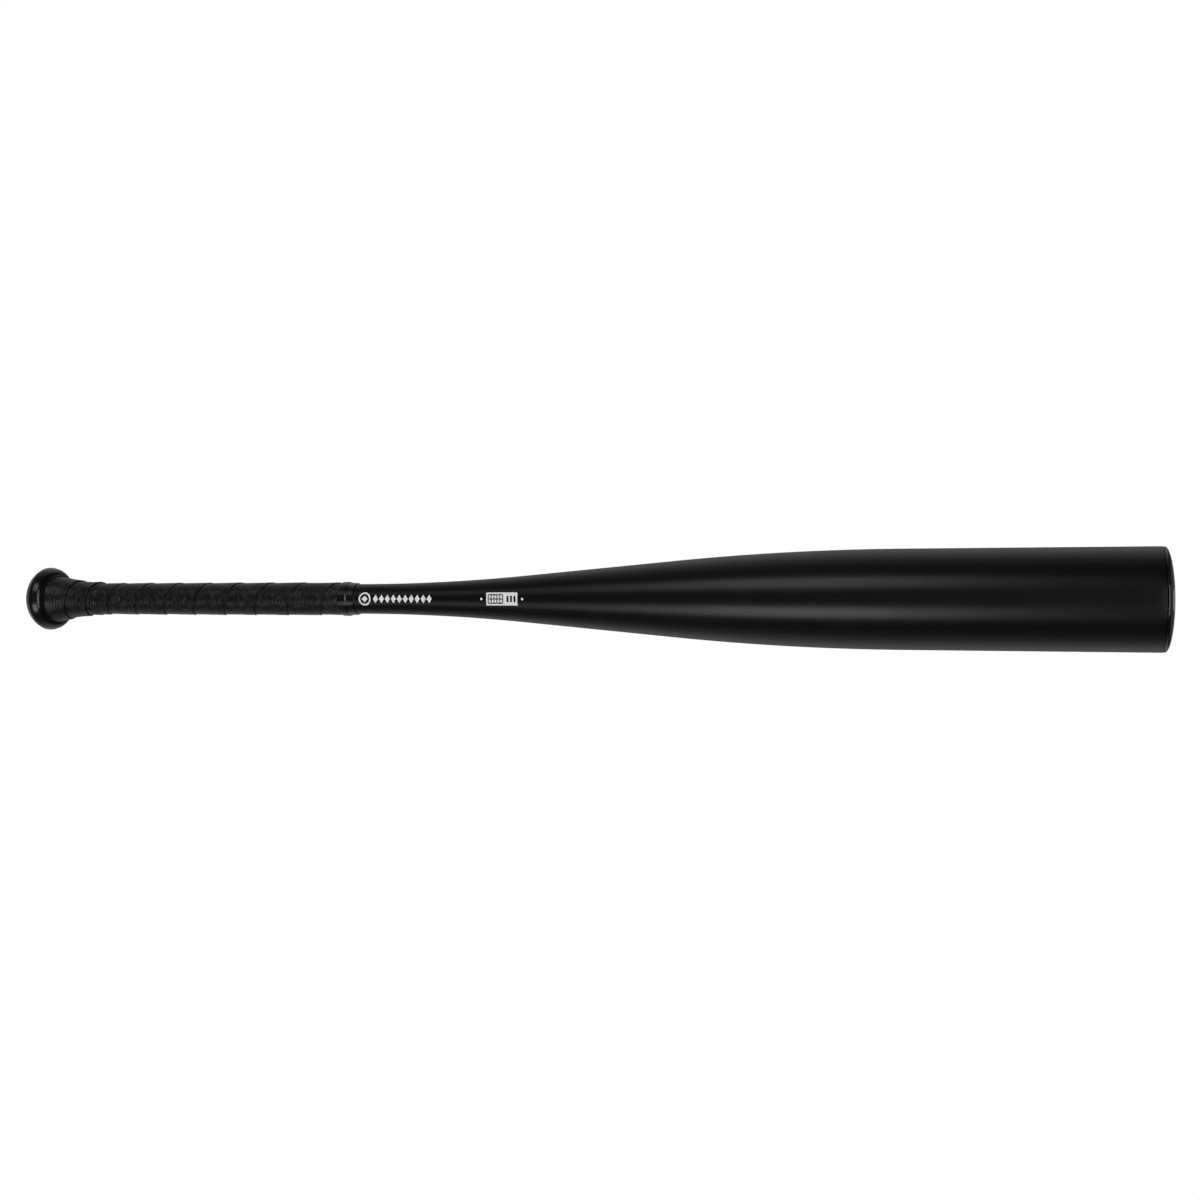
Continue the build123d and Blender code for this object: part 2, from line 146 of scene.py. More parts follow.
class Craft:
    """Builds one material's nodes."""

    def __init__(self, name: str) -> None:
        """Makes an empty node tree.

        Args:
            name: The name of the material or world that holds it.
        """
        self.owner = self._owner(name)
        self.owner.use_nodes = True
        self.tree = self.owner.node_tree
        self.tree.nodes.clear()

    def _owner(self, name: str) -> Union[bpy.types.Material, bpy.types.World]:
        """The new material that holds the nodes."""
        return bpy.data.materials.new(name)

    def node(self, kind: str, settings: dict, sockets: dict,
             output: Union[int, str, None] = 0) -> Optional[Field]:
        """Adds a node.

        Args:
            kind: The node's type.
            settings: Its properties, set before its sockets. "stops" is a ramp's places and
                colours.
            sockets: Values or links by the input's name or number.
            output: The output that is wanted, by name or number, or None for an end node.

        Returns:
            The wanted output, ready for arithmetic or linking.
        """
        made = self.tree.nodes.new(kind)
        for key, value in settings.items():
            if key == "stops":
                self._fill_ramp(made.color_ramp.elements, value)
            else:
                setattr(made, key, value)
        for key, value in sockets.items():
            if isinstance(value, Field):
                self.tree.links.new(value.socket, made.inputs[key])
            else:
                made.inputs[key].default_value = value
        return None if output is None else Field(self, made.outputs[output])

    @staticmethod
    def _fill_ramp(elements: bpy.types.ColorRampElements, stops: list) -> None:
        """Sets a new ramp's stops.

        Args:
            elements: The ramp's stops, which are two at first.
            stops: Places and colours in order, the first at 0 and the last at 1.
        """
        elements[0].color, elements[1].color = stops[0][1], stops[-1][1]
        for place, colour in stops[1:-1]:
            elements.new(place).color = colour

    def place(self) -> Field:
        """The point in the row frame, in metres."""
        return self.node("ShaderNodeTexCoord", {}, {}, "Object")

    def scaled(self, point: Field, by: Place) -> Field:
        """A point with each of its coordinates multiplied."""
        settings = {"operation": "MULTIPLY"}
        return self.node("ShaderNodeVectorMath", settings, {0: point, 1: by})

    def grain(self, point: Field, scale: float, detail: float = 2.0, rough: float = 0.5) -> Field:
        """Soft noise from 0 to 1.

        Args:
            point: Where it is read.
            scale: Its spots to the metre.
            detail: How many finer layers it has.
            rough: How strong the finer layers are.

        Returns:
            The noise's value.
        """
        sockets = {"Vector": point, "Scale": scale, "Detail": detail, "Roughness": rough}
        return self.node("ShaderNodeTexNoise", {}, sockets, 0)

    def cells(self, point: Field, scale: float, wall: CellWall = CellWall.SHARP) -> Field:
        """Distance to the nearest of scattered points, in cells."""
        sockets = {"Vector": point, "Scale": scale}
        return self.node("ShaderNodeTexVoronoi", {"feature": wall.value}, sockets, 0)

    def ramped(self, value: Field, low: float, high: float, start: float, end: float) -> Field:
        """Maps a value in an even S.

        Args:
            value: What is mapped.
            low: The value at which the S starts.
            high: The value at which it ends.
            start: The result up to low.
            end: The result from high on.

        Returns:
            The result.
        """
        settings = {"interpolation_type": "SMOOTHSTEP"}
        sockets = {"Value": value, 1: low, 2: high, 3: start, 4: end}
        return self.node("ShaderNodeMapRange", settings, sockets)

    def between(self, share: Value, first: Value, second: Value) -> Field:
        """A colour between two colours."""
        settings = {"data_type": "RGBA"}
        return self.node("ShaderNodeMix", settings, {0: share, 6: first, 7: second}, 2)

    def bumped(self, height: Field, depth: float, strength: float = 1.0) -> Field:
        """A normal that height moves by depth metres."""
        sockets = {"Height": height, "Distance": depth, "Strength": strength}
        return self.node("ShaderNodeBump", {}, sockets)

    def surface(self, sockets: dict) -> bpy.types.Material:
        """Ends the material in one Principled shader.

        Args:
            sockets: The shader's values or links by name.

        Returns:
            The finished material.
        """
        shader = self.node("ShaderNodeBsdfPrincipled", {}, sockets)
        self.node("ShaderNodeOutputMaterial", {}, {"Surface": shader}, None)
        return self.owner


class SkyCraft(Craft):
    """Builds the world's nodes."""

    def _owner(self, name: str) -> bpy.types.World:
        """The new world that holds the nodes."""
        return bpy.data.worlds.new(name)


def grey(level: float, warmth: float = 0.0) -> Colour:
    """A grey, tinted towards red by warmth or towards blue below 0."""
    return (level * (1 + warmth), level, level * (1 - warmth), 1.0)


# ---- finishes


@dataclass(frozen=True)
class SatinPaint:
    """Satin black paint on the drawn tube, with a fine skin and faint drawing lines."""

    dark: float = 0.0022
    light: float = 0.0034
    roughness: float = 0.285
    spread: float = 0.05  # how far the roughness wanders
    line_scale: Place = (2.0, 260.0, 260.0)
    cloud_scale: float = 38.0
    speckle_scale: float = 2600.0
    skin_scale: float = 1500.0
    skin_depth: float = 5e-6

    def material(self) -> bpy.types.Material:
        """Makes the paint.

        Returns:
            The finished material.
        """
        craft = Craft("satin_black_paint")
        place = craft.place()
        lines = craft.grain(craft.scaled(place, self.line_scale), 1.0, 3.0)
        clouds = craft.grain(place, self.cloud_scale, 4.0)
        speckle = craft.grain(place, self.speckle_scale, 1.0)
        skin = craft.grain(place, self.skin_scale, 2.0)
        tone = clouds * 0.7 + speckle * 0.3
        rough = self.roughness + (clouds - 0.5) * self.spread + (lines - 0.5) * self.spread
        return craft.surface({
            "Base Color": craft.between(tone, grey(self.dark, -0.02), grey(self.light, 0.01)),
            "Roughness": rough,
            "IOR": GLOSS_IOR,
            "Normal": craft.bumped(skin * 0.8 + lines * 0.2, self.skin_depth, 0.6),
        })


@dataclass(frozen=True)
class GlossPaint:
    """Thick glossy black paint on the turned knob."""

    base: float = 0.004
    scuffed: float = 0.0088
    roughness: float = 0.23
    coat: float = 0.5
    coat_roughness: float = 0.18
    peel_scale: float = 420.0
    peel_depth: float = 4e-6
    cloud_scale: float = 90.0
    scuff_scale: float = 260.0

    def material(self) -> bpy.types.Material:
        """Makes the paint.

        Returns:
            The finished material.
        """
        craft = Craft("gloss_black_paint")
        place = craft.place()
        peel = craft.grain(place, self.peel_scale, 2.0)
        clouds = craft.grain(place, self.cloud_scale, 4.0)
        scuffs = craft.ramped(craft.grain(place, self.scuff_scale, 6.0, 0.7), 0.56, 0.74, 0.0, 1.0)
        return craft.surface({
            "Base Color": craft.between(scuffs * 0.5, grey(self.base), grey(self.scuffed, 0.02)),
            "Roughness": self.roughness + (clouds - 0.5) * 0.08 + scuffs * 0.10,
            "IOR": GLOSS_IOR,
            "Coat Weight": self.coat - scuffs * 0.3,
            "Coat Roughness": self.coat_roughness,
            "Normal": craft.bumped(peel, self.peel_depth, 0.5),
        })


@dataclass(frozen=True)
class GripRubber:
    """Black polymer of the wound grip, with a leathery grain, fine pores and wrinkles, and painted
    shade in their hollows.
    """

    dark: float = 0.0008
    light: float = 0.0230
    roughness: float = 0.37
    ior: float = 1.48
    grain_depth: float = 4.0e-4
    pore_scale: float = 950.0
    leather_scale: float = 620.0
    wear_scale: float = 70.0
    wrinkle_scale: float = 300.0
    wrinkle_shape: Place = (1.5, 1.0, 1.0)  # finer along the bat than round it

    def material(self) -> bpy.types.Material:
        """Makes the polymer.

        Returns:
            The finished material.
        """
        craft = Craft("grip_polymer")
        place = craft.place()
        pores = craft.ramped(craft.cells(place, self.pore_scale), 0.05, 0.42, 0.0, 1.0)
        leather = craft.grain(place, self.leather_scale, 4.0, 0.6)
        worn = craft.ramped(craft.grain(place, self.wear_scale, 5.0), 0.4, 0.7, 0.0, 1.0)
        wrinkles = craft.grain(craft.scaled(place, self.wrinkle_shape), self.wrinkle_scale, 3.0)
        # painted shade: the colour follows the wrinkles' height, darker in their hollows and
        # lighter on their crests
        wrinkle_shade = craft.ramped(wrinkles, 0.43, 0.64, 0.0, 1.0)
        # the grain and pores add the same painted shade in their hollows; the worn patches are
        # real wear, lighter and smoother
        tone = wrinkle_shade * 0.6 + leather * 0.15 + pores * 0.1 + worn * 0.15
        height = wrinkles * 0.55 + leather * 0.27 + pores * 0.18
        return craft.surface({
            "Base Color": craft.between(tone, grey(self.dark), grey(self.light, 0.01)),
            "Roughness": self.roughness + (leather - 0.5) * 0.25 - worn * 0.08,
            "IOR": self.ior,
            "Normal": craft.bumped(height, self.grain_depth, 0.75),
        })


@dataclass(frozen=True)
class TapeVinyl:
    """Glossy black vinyl tape with fine stretch marks round the handle."""

    base: float = 0.005
    dusty: float = 0.02
    roughness: float = 0.23
    coat: float = 0.7
    coat_roughness: float = 0.1
    mark_scale: Place = (1400.0, 120.0, 120.0)
    mark_depth: float = 1.6e-5
    ripple_scale: float = 300.0
    dust_scale: float = 1800.0

    def material(self) -> bpy.types.Material:
        """Makes the vinyl.

        Returns:
            The finished material.
        """
        craft = Craft("tape_vinyl")
        place = craft.place()
        marks = craft.grain(craft.scaled(place, self.mark_scale), 1.0, 3.0)
        ripples = craft.grain(place, self.ripple_scale, 3.0)
        dust = craft.ramped(craft.grain(place, self.dust_scale, 2.0), 0.6, 0.75, 0.0, 1.0)
        return craft.surface({
            "Base Color": craft.between(dust * 0.4, grey(self.base), grey(self.dusty)),
            "Roughness": self.roughness + (ripples - 0.5) * 0.14 + dust * 0.1,
            "IOR": GLOSS_IOR,
            "Coat Weight": self.coat,
            "Coat Roughness": self.coat_roughness,
            "Normal": craft.bumped(marks * 0.5 + ripples * 0.5, self.mark_depth, 0.7),
        })


@dataclass(frozen=True)
class MouldedPlastic:
    """Moulded black plastic or rubber with an even fine texture."""

    name: str
    base: float = 0.008
    roughness: float = 0.25
    texture_scale: float = 1300.0
    texture_depth: float = 1.5e-5
    coat: float = 0.0
    coat_roughness: float = 0.08
    cloud_scale: float = 55.0
    scuff_scale: float = 330.0
    scuffed_share: float = 1.9  # how much lighter than the base a scuff is

    def material(self) -> bpy.types.Material:
        """Makes the plastic.

        Returns:
            The finished material.
        """
        craft = Craft(self.name)
        place = craft.place()
        texture = craft.cells(place, self.texture_scale, CellWall.SOFT)
        clouds = craft.grain(place, self.cloud_scale, 4.0)
        scuffs = craft.ramped(
            craft.grain(place, self.scuff_scale, 5.0, 0.65), 0.58, 0.72, 0.0, 1.0
        )
        tone = clouds * 0.6 + scuffs * 0.4
        scuffed = grey(self.base * self.scuffed_share, 0.01)
        return craft.surface({
            "Base Color": craft.between(tone, grey(self.base), scuffed),
            "Roughness": self.roughness + (clouds - 0.5) * 0.08 + scuffs * 0.08,
            "IOR": GLOSS_IOR,
            "Coat Weight": self.coat,
            "Coat Roughness": self.coat_roughness,
            "Normal": craft.bumped(texture, self.texture_depth, 0.5),
        })


@dataclass(frozen=True)
class ScreenInk:
    """White screen-printed ink with a fine weave and a few pinholes."""

    white: float = 0.86
    thin: float = 0.62
    pinhole: float = 0.05
    roughness: float = 0.42
    ior: float = 1.49
    mesh_scale: float = 5200.0
    mesh_depth: float = 6e-6
    patch_scale: float = 420.0
    pinhole_scale: float = 1500.0

    def material(self) -> bpy.types.Material:
        """Makes the ink.

        Returns:
            The finished material.
        """
        craft = Craft("white_screen_ink")
        place = craft.place()
        weave = craft.cells(place, self.mesh_scale)
        patches = craft.grain(place, self.patch_scale, 3.0)
        holes = craft.ramped(craft.cells(place, self.pinhole_scale), 0.03, 0.10, 1.0, 0.0)
        cover = patches * 0.5 + weave * 0.2
        full = craft.between(cover, grey(self.white), grey(self.thin, -0.01))
        return craft.surface({
            "Base Color": craft.between(holes * 0.6, full, grey(self.pinhole)),
            "Roughness": self.roughness + weave * 0.12,
            "IOR": self.ior,
            "Normal": craft.bumped(weave, self.mesh_depth, 0.5),
        })


@dataclass(frozen=True)
class BareMetal:
    """Machined bare metal with turning marks."""

    name: str
    dark: Colour = (0.48, 0.48, 0.49, 1.0)
    light: Colour = (0.78, 0.78, 0.79, 1.0)
    roughness: float = 0.3
    mark_scale: float = 1600.0  # along the bat
    mark_round_scale: float = 40.0
    mark_depth: float = 1.5e-5
    stain_scale: float = 120.0

    def material(self) -> bpy.types.Material:
        """Makes the metal.

        Returns:
            The finished material.
        """
        craft = Craft(self.name)
        place = craft.place()
        shape = (self.mark_scale, self.mark_round_scale, self.mark_round_scale)
        marks = craft.grain(craft.scaled(place, shape), 1.0, 3.0)
        stains = craft.grain(place, self.stain_scale, 5.0)
        return craft.surface({
            "Base Color": craft.between(stains * 0.6 + marks * 0.4, self.dark, self.light),
            "Metallic": 1.0,
            "Roughness": self.roughness + (marks - 0.5) * 0.2 + (stains - 0.5) * 0.15,
            "Normal": craft.bumped(marks, self.mark_depth, 0.5),
        })


@dataclass(frozen=True)
class CellFoam:
    """Closed-cell foam rubber, painted darker in the hollows of its cells as shade."""

    wall: Colour = (0.05, 0.05, 0.052, 1.0)
    # the dark colour painted into the cells' hollows: painted shade
    hollow_shade: Colour = (0.012, 0.012, 0.013, 1.0)
    roughness: float = 0.85
    cell_scale: float = 900.0
    small_cell_scale: float = 2430.0
    cell_depth: float = 2e-4

    def material(self) -> bpy.types.Material:
        """Makes the foam.

        Returns:
            The finished material.
        """
        craft = Craft("closed_cell_foam")
        place = craft.place()
        cells = craft.cells(place, self.cell_scale)
        small = craft.cells(place, self.small_cell_scale)
        height = cells * 0.7 + small * 0.3
        return craft.surface({
            # painted shade: the colour follows the cells' height, darker in their hollows and
            # lighter on their walls
            "Base Color": craft.between(height, self.hollow_shade, self.wall),
            "Roughness": self.roughness - cells * 0.1,
            "Normal": craft.bumped(height, self.cell_depth, 0.8),
        })


@dataclass(frozen=True)
class SetAdhesive:
    """Amber two-part adhesive, set with small bubbles in it."""

    deep: Colour = (0.30, 0.19, 0.07, 1.0)
    pale: Colour = (0.52, 0.37, 0.16, 1.0)
    roughness: float = 0.3
    flow_scale: float = 160.0
    bubble_scale: float = 1100.0
    depth: float = 6e-5

    def material(self) -> bpy.types.Material:
        """Makes the adhesive.

        Returns:
            The finished material.
        """
        craft = Craft("set_adhesive")
        place = craft.place()
        flow = craft.grain(place, self.flow_scale, 4.0)
        bubbles = craft.ramped(craft.cells(place, self.bubble_scale), 0.08, 0.2, 1.0, 0.0)
        return craft.surface({
            "Base Color": craft.between(flow * 0.7 + bubbles * 0.3, self.deep, self.pale),
            "Roughness": self.roughness + bubbles * 0.2 + (flow - 0.5) * 0.1,
            "Normal": craft.bumped(flow * 0.6 + bubbles * 0.4, self.depth, 0.6),
        })


Finish = Union[
    SatinPaint, GlossPaint, GripRubber, TapeVinyl, MouldedPlastic, ScreenInk, BareMetal,
    CellFoam, SetAdhesive,
]

FINISHES: dict[Slot, Finish] = {
    Slot.TUBE: SatinPaint(),
    Slot.KNOB: GlossPaint(),
    Slot.WELD: BareMetal("weld_bead", roughness=0.36, mark_scale=700.0),
    Slot.PLUG: MouldedPlastic("plug_rubber", 0.014, 0.55, 900.0, 5e-5),
    Slot.DISC: MouldedPlastic("disc_plastic", 0.012, 0.32),
    Slot.SLUG: BareMetal("turned_steel", (0.30, 0.30, 0.31, 1.0), (0.55, 0.55, 0.56, 1.0)),
    Slot.FOAM: CellFoam(),
    Slot.GRIP: GripRubber(),
    Slot.TAPE: TapeVinyl(),
    Slot.RING: BareMetal("turned_aluminium"),
    Slot.CAP: MouldedPlastic("cap_plastic", 0.003, 0.15, texture_depth=6e-6, coat=1.0),
    Slot.GLUE: SetAdhesive(),
    Slot.INK: ScreenInk(),
}


class Wardrobe:
    """Makes each slot's material once and dresses pieces with it."""

    def __init__(self) -> None:
        """Starts with no material made."""
        self.made: dict[Slot, bpy.types.Material] = {}

    def material(self, slot: Slot) -> bpy.types.Material:
        """The slot's material."""
        if slot not in self.made:
            self.made[slot] = FINISHES[slot].material()
        return self.made[slot]

    def dress_piece(self, piece: Piece, slot: Slot) -> None:
        """Gives a new piece its slot's material.

        Args:
            piece: A new piece.
            slot: Its slot.
        """
        piece.data.materials.clear()
        piece.data.materials.append(self.material(slot))

    def dress_node(self, node: str, slot: Slot) -> None:
        """Gives a kept CAD node its slot's material.

        Args:
            node: The node's name.
            slot: Its slot.
        """
        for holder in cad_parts[node].material_slots:
            holder.material = self.material(slot)


# ---- mesh building


def new_piece(name: str, points: list[Place], faces: list[list[int]]) -> Piece:
    """Makes a mesh object, smooth apart from its sharp corners.

    Args:
        name: The piece's name.
        points: Its vertices, in metres.
        faces: Vertex numbers of each face.

    Returns:
        The new object, in the scene.
    """
    mesh = bpy.data.meshes.new(name)
    mesh.from_pydata(points, [], faces)
    mesh.validate()
    mesh.shade_smooth()
    mesh.set_sharp_from_angle(angle=SHARP_ANGLE)
    piece = bpy.data.objects.new(name, mesh)
    bpy.context.scene.collection.objects.link(piece)
    return piece


def on_ring(x: float, radius: float, turn: float) -> Place:
    """A point of the bat's surface.

    Args:
        x: Along the bat, in mm.
        radius: Away from its axis, in mm.
        turn: Turns round the axis, 0 at the bottom and a quarter at the printed side.

    Returns:
        The point in metres.
    """
    angle = 2 * pi * turn
    return (x * MM, -radius * sin(angle) * MM, -radius * cos(angle) * MM)


def turned(name: str, outline: list[Point], segments: int) -> Piece:
    """Turns a closed outline, clear of the axis, round the bat's axis.

    Args:
        name: The piece's name.
        outline: Points (x, radius) in mm, in order.
        segments: Faces round each ring.

    Returns:
        The new piece.
    """
    points = [
        on_ring(x, radius, step / segments) for x, radius in outline for step in range(segments)
    ]
    faces = []
    for ring in range(len(outline)):
        first, second = ring * segments, (ring + 1) % len(outline) * segments
        for step in range(segments):
            after = (step + 1) % segments
            faces.append([first + step, first + after, second + after, second + step])
    piece = new_piece(name, points, faces)
    face_outwards(piece)
    return piece


def face_outwards(piece: Piece) -> None:
    """Joins a closed mesh's doubled points and turns its faces outwards.

    Args:
        piece: The piece, which is changed.
    """
    work = bmesh.new()
    work.from_mesh(piece.data)
    bmesh.ops.remove_doubles(work, verts=work.verts, dist=SMALLEST_GAP)
    bmesh.ops.dissolve_degenerate(work, edges=work.edges, dist=SMALLEST_GAP)
    bmesh.ops.recalc_face_normals(work, faces=work.faces)
    work.to_mesh(piece.data)
    work.free()
    piece.data.shade_smooth()
    piece.data.set_sharp_from_angle(angle=SHARP_ANGLE)


def arc(centre: Point, radius: float, start: float, end: float, steps: int) -> list[Point]:
    """Points of a circle's arc.

    Args:
        centre: Its centre (x, radius).
        radius: Its own radius.
        start: The first angle, from +x towards the outside.
        end: The last angle.
        steps: Spans between its points.

    Returns:
        The points in order.
    """
    angles = [start + (end - start) * step / steps for step in range(steps + 1)]
    return [(centre[0] + radius * cos(a), centre[1] + radius * sin(a)) for a in angles]


def smooth_step(share: float) -> float:
    """0 below 0, 1 above 1, and an even S between."""
    share = min(max(share, 0.0), 1.0)
    return share * share * (3 - 2 * share)


def fit(piece: Piece, node: str) -> None:
    """Puts a new piece in a CAD node's place.

    Args:
        piece: The new piece.
        node: The node it stands for.
    """
    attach(piece, "root")
    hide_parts(node)


# ---- the body


@dataclass
class Tube:
    """Handle, taper and barrel: one drawn tube with a turned-over rim."""

    handle_radius: float = 10.93
    barrel_radius: float = 33.34
    barrel_length: float = 158.8
    hollow_arc: float = 1440.0  # radius of the hollow curve off the handle
    shoulder_arc: float = 1720.0  # radius of the full curve into the barrel
    cone: float = radians(5.1)  # slope of the straight part between them
    handle_wall: float = 2.1
    barrel_wall: float = 2.9
    rim_rounding: float = 0.8
    rim_steps: int = 6
    seat_x: float = 8.0  # where the tube starts, inside the knob
    segments: int = 256
    spacing: float = 6.0
    rim_x: float = field(init=False)
    taper_start: float = field(init=False)
    piece: Piece = field(init=False)

    def __post_init__(self) -> None:
        """Works out where the rim and the taper are from the CAD's own box."""
        self.rim_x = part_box("bat_tube")[1].x / MM
        rise = self._cone_rise(self.handle_radius, self.barrel_radius)
        taper = (self.hollow_arc + self.shoulder_arc) * sin(self.cone) + rise / tan(self.cone)
        self.taper_start = self.rim_x - self.barrel_length - taper

    def _hollow_rise(self) -> float:
        """The radius that the hollow curve gains."""
        return self.hollow_arc * (1 - cos(self.cone))

    def _cone_rise(self, handle: float, barrel: float) -> float:
        """The radius that the straight part gains between two end radii."""
        return barrel - handle - self._hollow_rise() - self.shoulder_arc * (1 - cos(self.cone))

    def side(self, x: float, handle: float, barrel: float) -> float:
        """The outline's radius at x, for given end radii.

        Args:
            x: Along the bat.
            handle: The radius along the handle.
            barrel: The radius along the barrel.

        Returns:
            The radius.
        """
        hollow, shoulder = self.hollow_arc, self.shoulder_arc
        cone_start = self.taper_start + hollow * sin(self.cone)
        cone_end = cone_start + self._cone_rise(handle, barrel) / tan(self.cone)
        barrel_start = cone_end + shoulder * sin(self.cone)
        if x <= self.taper_start:
            return handle
        if x <= cone_start:
            return handle + hollow - sqrt(hollow**2 - (x - self.taper_start)**2)
        if x <= cone_end:
            return handle + self._hollow_rise() + (x - cone_start) * tan(self.cone)
        if x <= barrel_start:
            return barrel - shoulder + sqrt(shoulder**2 - (barrel_start - x)**2)
        return barrel

    def build(self) -> None:
        """Turns the tube's wall."""
        smooth_end = self.rim_x - self.rim_rounding
        length = smooth_end - self.seat_x
        spans = round(length / self.spacing)
        places = [self.seat_x + length * n / spans for n in range(spans + 1)]
        outside = [(x, self.side(x, self.handle_radius, self.barrel_radius)) for x in places]
        centre = (smooth_end, self.barrel_radius - self.rim_rounding)
        rim = arc(centre, self.rim_rounding, pi / 2, 0.0, self.rim_steps)[1:]
        handle_bore = self.handle_radius - self.handle_wall
        barrel_bore = self.barrel_radius - self.barrel_wall
        inside = [(x, self.side(x, handle_bore, barrel_bore)) for x in reversed(places)]
        wall = outside + rim + [(self.rim_x, barrel_bore)] + inside
        self.piece = turned("tube_body", wall, self.segments)

    def dress(self, wardrobe: Wardrobe) -> None:
        """Puts the tube in its place and paints it."""
        fit(self.piece, "bat_tube")
        wardrobe.dress_piece(self.piece, Slot.TUBE)


# ---- the wound grip


@dataclass
class WoundGrip:
    """The polymer strip wound round the flare and the handle, each turn over the next."""

    tube: Tube
    thickness: float = 1.2
    end_thinning: float = 0.2  # where it was pulled harder
    end_thinning_x: float = 225.0
    end_thinning_run: float = 35.0
    flare_root: float = 17.5
    flare_middle: float = 13.43
    flare_tip: float = 11.63
    flare_length: float = 38.5
    flare_middle_share: float = 0.45  # how far along the flare its middle is
    weld_length: float = 3.6
    first_seam: float = 65.0  # where the seam crosses the bottom, past the flare
    pitch: float = 24.6
    pitch_growth: float = 0.22
    flare_pitch: float = 18.0
    wander: float = 0.55  # how far a seam strays
    wander_rate: float = 1.7  # to the turn
    wander_seed: Point = (0.3, 5.1)
    step: float = 0.42  # how high an edge stands over the next turn
    flare_step: float = 0.95
    flare_step_end: float = 4.0  # past the first seam
    flare_step_run: float = 10.0  # over which it falls to the handle's step
    step_spread: float = 0.35  # how unevenly the edges stand, as a share
    step_rate: float = 2.3  # to the turn
    step_seed: Point = (1.7, 0.4)
    edge_rounding: float = 0.7
    edge_drop: float = 0.38  # the share of the step that the rounding takes
    crease: float = 0.22
    crease_width: float = 0.55
    lip: float = 0.1  # how far the exposed edge curls up
    lip_width: float = 1.3
    rib_pitch: float = 2.4
    rib_depth: float = 0.13
    rib_crown: float = 0.15  # how much of a rib stays proud
    rib_wander: float = 0.4
    rib_wander_scale: float = 0.6
    rib_mean: float = 0.9  # how deep the ribs are on the whole, and how patchy
    rib_spread: float = 1.8
    rib_spread_scale: float = 0.8
    rib_limits: Point = (0.1, 2.0)
    rib_margins: Point = (0.6, 0.8)  # plain strip behind one edge and before the next
    lump_scale: float = 130.0  # to the metre
    lump: float = 0.08
    small_lump: float = 0.06
    small_lump_scale: float = 3.1
    press_run: float = 1.5  # over which the finishing tape presses the turns flat
    rows: int = 144  # to the turn
    columns: int = 50
    near_stations: tuple[float, ...] = (0.0, 0.14, 0.3, 0.5, 0.8)  # in mm from each edge
    far_stations: tuple[float, ...] = (0.8, 0.5, 0.3, 0.17, 0.08, 0.03, 0.0)
    squeezed_width: float = 3.2  # the width below which they move together
    turn_limits: Point = (-6.0, 14.0)
    skin_gap: float = 0.05
    skin_spans: int = 80
    strip_width: float = 0.030  # as cut, in metres
    strip_length: float = 0.80
    start_x: float = field(init=False)
    end_x: float = field(init=False)
    band_x: float = field(init=False)
    piece: Piece = field(init=False)

    def __post_init__(self) -> None:
        """Reads where the grip and the tape over it lie from the CAD."""
        low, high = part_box("grip_tape")
        self.start_x, self.end_x = low.x / MM, high.x / MM
        self.band_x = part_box("finishing_tape")[0].x / MM

    def seam(self, turns: float) -> float:
        """Where the strip's exposed edge is after so many turns.

        Args:
            turns: Counted from the first seam past the flare.

        Returns:
            Its place along the bat.
        """
        if turns < 0:
            place = self.first_seam + self.flare_pitch * turns
        else:
            place = self.first_seam + (self.pitch + self.pitch_growth * turns) * turns
        stray = noise.noise(Vector((turns * self.wander_rate, *self.wander_seed)))
        return place + self.wander * stray

    def base(self, x: float) -> float:
        """The strip's middle level over the flare and the handle.

        Args:
            x: Along the bat.

        Returns:
            The radius.
        """
        along = x - self.start_x
        share = along / self.flare_length
        if share < 1:
            circle = circle_through(
                (0.0, self.flare_root),
                (self.flare_length * self.flare_middle_share, self.flare_middle),
                (self.flare_length, self.flare_tip),
            )
            return hollow_height(circle, share * self.flare_length) + self.thickness
        past = (along - self.flare_length) / self.weld_length
        handle = self.tube.handle_radius
        thinned = smooth_step((x - self.end_thinning_x) / self.end_thinning_run)
        level = handle + (self.flare_tip - handle) * (1 - smooth_step(past))
        return level + self.thickness - self.end_thinning * thinned

    def _step_height(self, x: float, turns: float) -> float:
        """How high the strip's exposed edge stands over the next turn.

        Args:
            x: Along the bat.
            turns: Turns of the strip.

        Returns:
            The height.
        """
        flare = smooth_step((self.first_seam + self.flare_step_end - x) / self.flare_step_run)
        height = self.step + (self.flare_step - self.step) * flare
        uneven = noise.noise(Vector((turns * self.step_rate, *self.step_seed)))
        return height * (1 + self.step_spread * uneven)

    def _ribs(self, spot: Vector, past: float, left: float) -> float:
        """How deep the strip's surface dips between its ribs.

        Args:
            spot: Where on the grip, in lumps.
            past: How far the last exposed edge is behind.
            left: How far this strip's own exposed edge is ahead.

        Returns:
            The depth.
        """
        stray = self.rib_wander * noise.noise(spot * self.rib_wander_scale)
        wave = cos(2 * pi * (left / self.rib_pitch + stray))
        depth = self.rib_mean + self.rib_spread * noise.noise(spot * self.rib_spread_scale)
        depth = min(max(depth, self.rib_limits[0]), self.rib_limits[1])
        behind, ahead = self.rib_margins
        plain = smooth_step(past - behind) * smooth_step(left - ahead)
        dip = smooth_step((wave + self.rib_crown) / (1 + self.rib_crown))
        return self.rib_depth * depth * dip * plain

